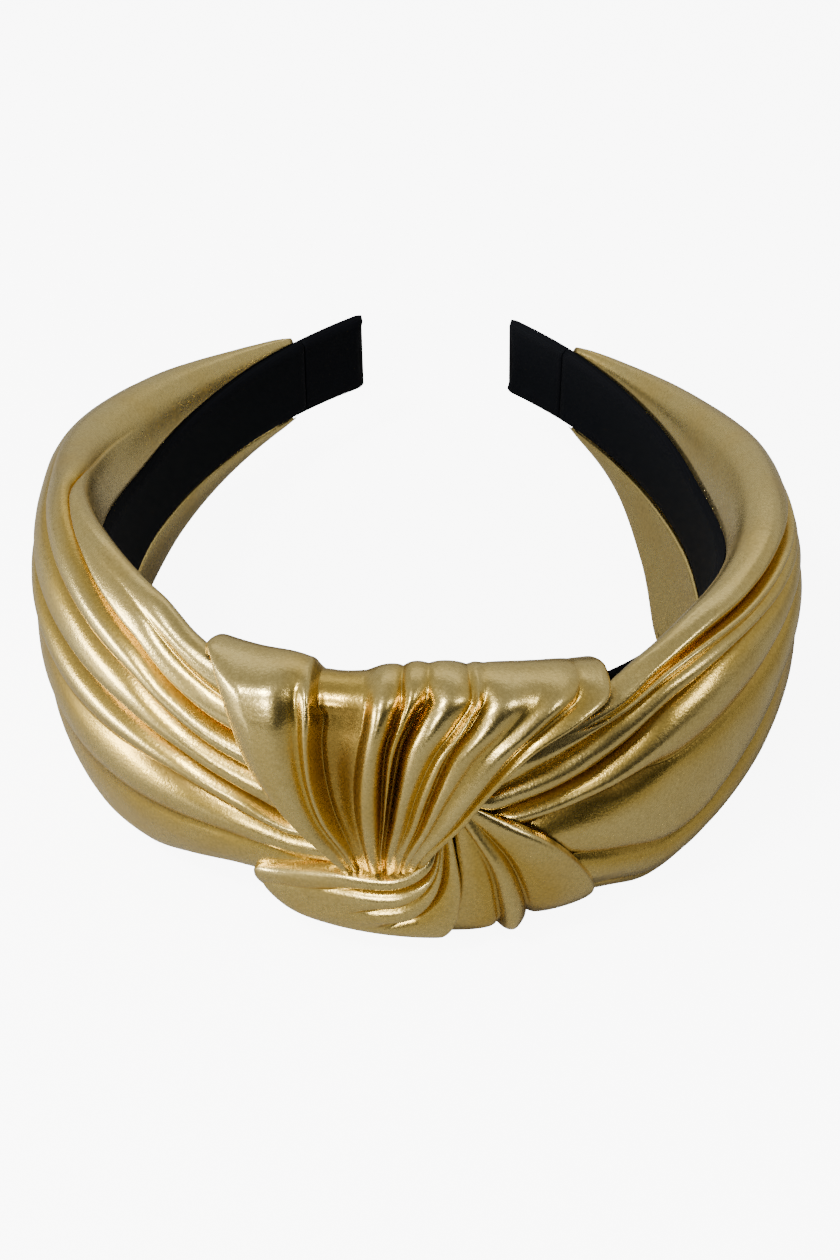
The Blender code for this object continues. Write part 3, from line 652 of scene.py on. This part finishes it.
def strip_loops():
    """the strip, with a thin tongue at both ends that the sleeves go over"""
    step, tongue = HALF_LENGTH - SLEEVE_LENGTH, HALF_LENGTH - SLEEVE_DIP - TONGUE_GAP
    loops = [bar_at(-at, TONGUE_THIN, ease=TONGUE_EASE) for at in (tongue, step)]
    loops += [bar_at(at, 0.0) for at in np.linspace(-step, step, STRIP_STEPS)]
    return loops + [bar_at(at, TONGUE_THIN, ease=TONGUE_EASE) for at in (step, tongue)]


def sleeve_loops(side):
    """a sleeve from the bottom of its socket, round its mouth and on to the closed tip"""
    near, deep = HALF_LENGTH - SLEEVE_LENGTH + CLEARANCE, HALF_LENGTH - SLEEVE_DIP - SOCKET_GAP
    loops = [bar_at(side * at, SLEEVE_WALL, ease=SOCKET_EASE) for at in (deep, near)]
    last = SLEEVE_STEPS - 1
    for i, at in enumerate(np.linspace(near, HALF_LENGTH, SLEEVE_STEPS)):
        dip = SLEEVE_DIP * (i / last) ** 4
        round_in = TIP_ROUND * max(0, (i - (last - TIP_STEPS)) / TIP_STEPS) ** 2
        loops.append(bar_at(side * at, round_in, dip))
    return loops


band_core = bar("band_core_cloth", strip_loops(), "band_core")
sleeve_left = bar("tip_sleeve_left_cloth", sleeve_loops(-1), "tip_sleeve_left")
sleeve_right = bar("tip_sleeve_right_cloth", sleeve_loops(1), "tip_sleeve_right")

# %% [markdown]
# ## Shared effects
# Real faux leather is never one colour. It has a fine pebble grain that makes the gold glitter
# where light turns. Its colour is also painted darker and browner down in the folds, which is
# painted shade, and is palest on the crests and open leather. Those are effects, not materials,
# so each is a node group that puts out a height, a mask or a colour, and a material gives it its own
# colours.

# %% node helpers
def group(name, inputs, outputs):
    """an empty node group with its input and output nodes"""
    tree = bpy.data.node_groups.new(name, "ShaderNodeTree")
    for label, kind, value in inputs:
        socket = tree.interface.new_socket(label, in_out="INPUT", socket_type=kind)
        if value is not None:
            socket.default_value = value
    for label, kind in outputs:
        tree.interface.new_socket(label, in_out="OUTPUT", socket_type=kind)
    return tree, tree.nodes.new("NodeGroupInput"), tree.nodes.new("NodeGroupOutput")


def node(tree, kind, settings=None, **inputs):
    """a shader node; an input is given by its name, or by its number as i0, i1 and so on"""
    made = tree.nodes.new("ShaderNode" + kind)
    for key, value in (settings or {}).items():
        setattr(made, key, value)
    for key, value in inputs.items():
        numbered = key[0] == "i" and key[1:].isdigit()
        socket = made.inputs[int(key[1:]) if numbered else key.replace("_", " ")]
        if isinstance(value, bpy.types.NodeSocket):
            tree.links.new(value, socket)
        else:
            socket.default_value = value
    return made


def maths(tree, operation, a, b=0.0, c=0.0):
    return node(tree, "Math", {"operation": operation}, i0=a, i1=b, i2=c).outputs[0]


# %% leather grain
grain, gin, gout = group("leather grain", [
    ("Vector", "NodeSocketVector", None), ("Pebbles per metre", "NodeSocketFloat", 1700.0),
    ("Glitter per metre", "NodeSocketFloat", 3000.0)],
    [("Height", "NodeSocketFloat"), ("Glitter", "NodeSocketFloat")])
pebble = node(grain, "TexVoronoi", {"feature": "SMOOTH_F1"}, Vector=gin.outputs[0],
              Scale=gin.outputs[1], Smoothness=0.6)
dust = node(grain, "TexNoise", Vector=gin.outputs[0], Scale=gin.outputs[2], Detail=2.0)
rough_height = maths(grain, "MULTIPLY_ADD", pebble.outputs["Distance"], -0.6, 0.6)
grain.links.new(maths(grain, "MULTIPLY_ADD", dust.outputs[0], 0.55, rough_height), gout.inputs[0])
grain.links.new(dust.outputs[0], gout.inputs[1])

# %% gold tone and painted fold shade
# painted shade: the gold is painted darker and browner the deeper a point lies in a fold, with a little
# random drift
tone, tin, tout = group("painted fold shade", [
    ("Vector", "NodeSocketVector", None), ("Fold", "NodeSocketFloat", 0.0),
    ("Crest", "NodeSocketColor", None), ("Body", "NodeSocketColor", None),
    ("Hollow", "NodeSocketColor", None)],
    [("Colour", "NodeSocketColor"), ("Worn", "NodeSocketFloat")])
cloud = node(tone, "TexNoise", Vector=tin.outputs[0], Scale=95.0, Detail=3.0)
drift = maths(tone, "MULTIPLY_ADD", cloud.outputs[0], 0.5, -0.25)
depth = maths(tone, "ADD", tin.outputs[1], drift)
low = node(tone, "MapRange", Value=depth, i1=-0.05, i2=0.30)
deepest = node(tone, "MapRange", Value=depth, i1=0.40, i2=1.10)
body = node(tone, "Mix", {"data_type": "RGBA"}, Factor=low.outputs[0], i6=tin.outputs[2], i7=tin.outputs[3])
shade = node(tone, "Mix", {"data_type": "RGBA"}, Factor=deepest.outputs[0], i6=body.outputs[2],
             i7=tin.outputs[4])
tone.links.new(shade.outputs[2], tout.inputs[0])
tone.links.new(cloud.outputs[0], tout.inputs[1])

# %% woven threads
weave, win, wout = group("woven threads", [
    ("Vector", "NodeSocketVector", None), ("Threads per mm", "NodeSocketFloat", 2.6)],
    [("Height", "NodeSocketFloat"), ("Thread", "NodeSocketFloat")])
axes = node(weave, "SeparateXYZ", Vector=win.outputs[0])
turns = maths(weave, "MULTIPLY", win.outputs[1], 2 * math.pi)
warp = maths(weave, "SINE", maths(weave, "MULTIPLY", axes.outputs[0], turns))
weft = maths(weave, "SINE", maths(weave, "MULTIPLY", axes.outputs[1], turns))
cross = maths(weave, "MULTIPLY", warp, weft)
weave.links.new(maths(weave, "MULTIPLY_ADD", cross, 0.5, 0.5), wout.inputs[0])
weave.links.new(maths(weave, "MULTIPLY_ADD", warp, 0.5, 0.5), wout.inputs[1])


# %% [markdown]
# ## The gold leather
# The coat is a metal foil: fully metallic, softly rough, with a bump from the grain. The same
# grain also darkens and lightens the colour a little, so that its flecks stay visible where
# the bump alone would blur. The fold note on the mesh drives painted shade: the colour is painted
# darker and browner the deeper a point lies in a fold, because only the mesh knows where its
# folds are. This painted shade stays where it is when the light moves.

# %% gold leather material
# painted shade: the open gold darkens to the half-shaded colour and then to the fold shade colour down in
# the folds
UNSHADED_GOLD, HALF_SHADED_GOLD, PAINTED_FOLD_SHADE = (0.86, 0.67, 0.25, 1), (0.74, 0.51, 0.115, 1), (0.46, 0.28, 0.06, 1)
FLECK_DARK, FLECK_LIGHT = (0.66, 0.64, 0.59, 1), (1.12, 1.12, 1.11, 1)
ROUGH_LEAST, ROUGH_PATCH, ROUGH_GLITTER = 0.19, 0.10, 0.08


def gold_leather(name):
    mat = bpy.data.materials.new(name)
    mat.use_nodes = True
    tree = mat.node_tree
    bsdf = tree.nodes["Principled BSDF"]
    place_on = node(tree, "TexCoord").outputs["Object"]
    fold = node(tree, "Attribute", {"attribute_name": "fold"}).outputs["Fac"]
    g = node(tree, "Group", {"node_tree": grain}, Vector=place_on)
    # painted shade in the folds, driven by the fold note
    t = node(tree, "Group", {"node_tree": tone}, Vector=place_on, Fold=fold, Crest=UNSHADED_GOLD,
             Body=HALF_SHADED_GOLD, Hollow=PAINTED_FOLD_SHADE)
    fleck = node(tree, "Mix", {"data_type": "RGBA"}, Factor=g.outputs[0], i6=FLECK_DARK,
                 i7=FLECK_LIGHT)
    gold_colour = node(tree, "Mix", {"data_type": "RGBA", "blend_type": "MULTIPLY"}, Factor=1.0,
                       i6=t.outputs[0], i7=fleck.outputs[2])
    tree.links.new(gold_colour.outputs[2], bsdf.inputs["Base Color"])
    patch = maths(tree, "MULTIPLY_ADD", t.outputs[1], ROUGH_PATCH, ROUGH_LEAST)
    rough = maths(tree, "MULTIPLY_ADD", g.outputs[1], ROUGH_GLITTER, patch)
    tree.links.new(rough, bsdf.inputs["Roughness"])
    bump = node(tree, "Bump", Strength=0.36, Distance=0.0001, Height=g.outputs[0])
    tree.links.new(bump.outputs[0], bsdf.inputs["Normal"])
    bsdf.inputs["Metallic"].default_value = 1.0
    return mat


gold = gold_leather("gold_leather")
for piece in (cover_left, cover_right, knot_fan, knot_roll, knot_tail):
    piece.data.materials.clear()
    piece.data.materials.append(gold)

# %% [markdown]
# ## The black cloth
# A close plain weave, nearly black with a little navy in it. It needs no metal and hardly any
# gloss: the threads differ a little in colour, and their bump breaks up what light there is.

# %% black cloth material
THREAD_DARK, THREAD_LIGHT = (0.0006, 0.0008, 0.0016, 1), (0.0016, 0.0022, 0.0045, 1)


def black_cloth(name):
    mat = bpy.data.materials.new(name)
    mat.use_nodes = True
    tree = mat.node_tree
    bsdf = tree.nodes["Principled BSDF"]
    along = node(tree, "UVMap", {"uv_map": "cut"}).outputs[0]
    w = node(tree, "Group", {"node_tree": weave}, Vector=along)
    colour = node(tree, "Mix", {"data_type": "RGBA"}, Factor=w.outputs[1], i6=THREAD_DARK,
                  i7=THREAD_LIGHT)
    tree.links.new(colour.outputs[2], bsdf.inputs["Base Color"])
    bump = node(tree, "Bump", Strength=0.5, Distance=0.00008, Height=w.outputs[0])
    tree.links.new(bump.outputs[0], bsdf.inputs["Normal"])
    bsdf.inputs["Roughness"].default_value = 0.72
    bsdf.inputs["Specular IOR Level"].default_value = 0.10
    return mat


black = black_cloth("black_fabric")
for piece in (band_core, sleeve_left, sleeve_right):
    piece.data.materials.clear()
    piece.data.materials.append(black)

# %% [markdown]
# ## What each blank was cut to
# The flat size of a blank is its width by its length before it was bent. The covers and the fan
# were measured along the built surface; the two small wraps were too, and then enlarged until
# the flat size has the built skin's area.

# %% [markdown]
# ## The studio
# Metal shows what is round it more than what falls on it, so the room matters. It is bright
# behind, at the sides and overhead, and nearly dark where the viewer stands, a little to the
# right, which leaves the brown streaks between the highlights. A key panel is high on the left,
# three others are low on the left, in front and on the right, a wide one is high behind, and a
# small bright card lies on the floor at the left. The paper glows white for the camera, but the
# gold sees a grey floor. One even dome of light would be simpler, but it would make the gold
# look like matt paint.

# %% paper floor
FLOOR_HALF, GLOW = 3.0, 8.0
PAPER_TO_GOLD, PAPER_TO_CAMERA = (0.27, 0.27, 0.27, 1), (0.8, 0.8, 0.8, 1)

bm = bmesh.new()
bmesh.ops.create_grid(bm, x_segments=8, y_segments=8, size=FLOOR_HALF)
floor_mesh = bpy.data.meshes.new("floor")
bm.to_mesh(floor_mesh)
bm.free()
floor = bpy.data.objects.new("floor", floor_mesh)
bpy.context.scene.collection.objects.link(floor)
floor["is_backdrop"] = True
paper = bpy.data.materials.new("white paper")
paper.use_nodes = True
paper_bsdf = paper.node_tree.nodes["Principled BSDF"]
paper_bsdf.inputs["Roughness"].default_value = 0.9
paper_bsdf.inputs["Emission Color"].default_value = (1, 1, 1, 1)
seen = node(paper.node_tree, "LightPath").outputs["Is Camera Ray"]
glow = maths(paper.node_tree, "MULTIPLY", seen, GLOW)
paper_colour = node(paper.node_tree, "Mix", {"data_type": "RGBA"}, Factor=seen,
                    i6=PAPER_TO_GOLD, i7=PAPER_TO_CAMERA)
paper.node_tree.links.new(paper_colour.outputs[2], paper_bsdf.inputs["Base Color"])
paper.node_tree.links.new(glow, paper_bsdf.inputs["Emission Strength"])
floor_mesh.materials.append(paper)

# %% soft room
FRONT_WALL, BACK_WALL = 0.02, 0.48
BRIGHT_SIDE, DARK_AT, BRIGHT_AT = (-0.42, 0.91, 0.0), -0.95, -0.2
CEILING, CEILING_FROM, CEILING_AT = 0.75, 0.55, 0.95
ROOM_COLOUR = (0.98, 0.98, 0.97, 1)

world = bpy.data.worlds.new("soft room")
world.use_nodes = True
room = world.node_tree
facing = node(room, "TexCoord").outputs["Generated"]
toward = node(room, "SeparateXYZ", Vector=facing)
away = node(room, "VectorMath", {"operation": "DOT_PRODUCT"}, i0=facing, i1=BRIGHT_SIDE)
front = node(room, "MapRange", {"interpolation_type": "SMOOTHSTEP"}, Value=away.outputs["Value"],
             i1=DARK_AT, i2=BRIGHT_AT, i3=FRONT_WALL, i4=BACK_WALL)
high_up = node(room, "MapRange", {"interpolation_type": "SMOOTHSTEP"}, Value=toward.outputs[2],
               i1=CEILING_FROM, i2=CEILING_AT, i3=1.0, i4=CEILING)
room.links.new(maths(room, "MULTIPLY", front.outputs[0], high_up.outputs[0]),
               room.nodes["Background"].inputs[1])
room.nodes["Background"].inputs[0].default_value = ROOM_COLOUR
bpy.context.scene.world = world

# %% panels and card
TARGET = Vector((0.0, SHIFT[1] * MM, MID_HEIGHT * MM))
CARD_HEIGHT = 0.001


def towards(azimuth, elevation):
    """direction from the band; azimuth 0 is in front of the knot, 90 is the viewer's right"""
    a, e = math.radians(azimuth), math.radians(elevation)
    return Vector((math.sin(a) * math.cos(e), -math.cos(a) * math.cos(e), math.sin(e)))


def panel(name, azimuth, elevation, distance, width, height, watts):
    """soft panel that faces the band"""
    back = towards(azimuth, elevation)
    light = bpy.data.lights.new(name, "AREA")
    light.shape, light.size, light.size_y = "RECTANGLE", width, height
    light.energy = watts
    obj = bpy.data.objects.new(name, light)
    bpy.context.scene.collection.objects.link(obj)
    obj.location = TARGET + back * distance
    obj.rotation_mode = "QUATERNION"
    obj.rotation_quaternion = back.to_track_quat("Z", "Y")
    return obj


panel("key panel", -45, 58, 1.0, 0.20, 0.15, 8.0)
panel("overhead panel", 178, 42, 1.6, 1.6, 0.5, 1.6)
panel("low left panel", -80, 8, 0.7, 0.28, 0.15, 3.6)
panel("front left panel", -22, 30, 1.0, 0.18, 0.18, 3.8)
panel("side panel", 70, 40, 1.0, 0.12, 0.30, 2.0)


def card(name, x, y, width, length, watts):
    """bright card lying on the floor beside the band, seen only in the gold"""
    obj = panel(name, 0, 90, 0.5, width, length, watts)
    obj.location = (x, y, CARD_HEIGHT)
    obj.rotation_quaternion = Vector((0, 0, -1)).to_track_quat("Z", "Y")
    obj.visible_camera = False


card("left card", -0.21, -0.14, 0.10, 0.22, 0.10)

# %% [markdown]
# ## The camera
# It looks down on the band from the front and a little to the right. Its focal length is given
# in pixels of the frame's height, so that it holds for any sensor.

# %% camera
ELEVATION, AZIMUTH, DISTANCE = 39.0, 3.4, 0.420
FOCAL_PX, HEIGHT_PX, SIDE_PX, SENSOR = 2136.0, 1260.0, 12.0, 36.0

lens = bpy.data.cameras.new("camera")
lens.sensor_width, lens.sensor_fit = SENSOR, "AUTO"
lens.lens = FOCAL_PX / HEIGHT_PX * SENSOR
lens.shift_x = SIDE_PX / HEIGHT_PX
lens.clip_start, lens.clip_end = 0.01, 20.0
camera = bpy.data.objects.new("camera", lens)
bpy.context.scene.collection.objects.link(camera)
camera.location = TARGET + towards(AZIMUTH, ELEVATION) * DISTANCE
camera.rotation_mode = "QUATERNION"
camera.rotation_quaternion = (-towards(AZIMUTH, ELEVATION)).to_track_quat("-Z", "Y")
bpy.context.scene.camera = camera

# %% sizes and finish
low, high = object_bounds()
for axis, *ends in zip("xyz", cad_low, cad_high, low, high):
    print(axis, "frame low and high, dressed low and high, mm:", *(round(e / MM, 2) for e in ends))
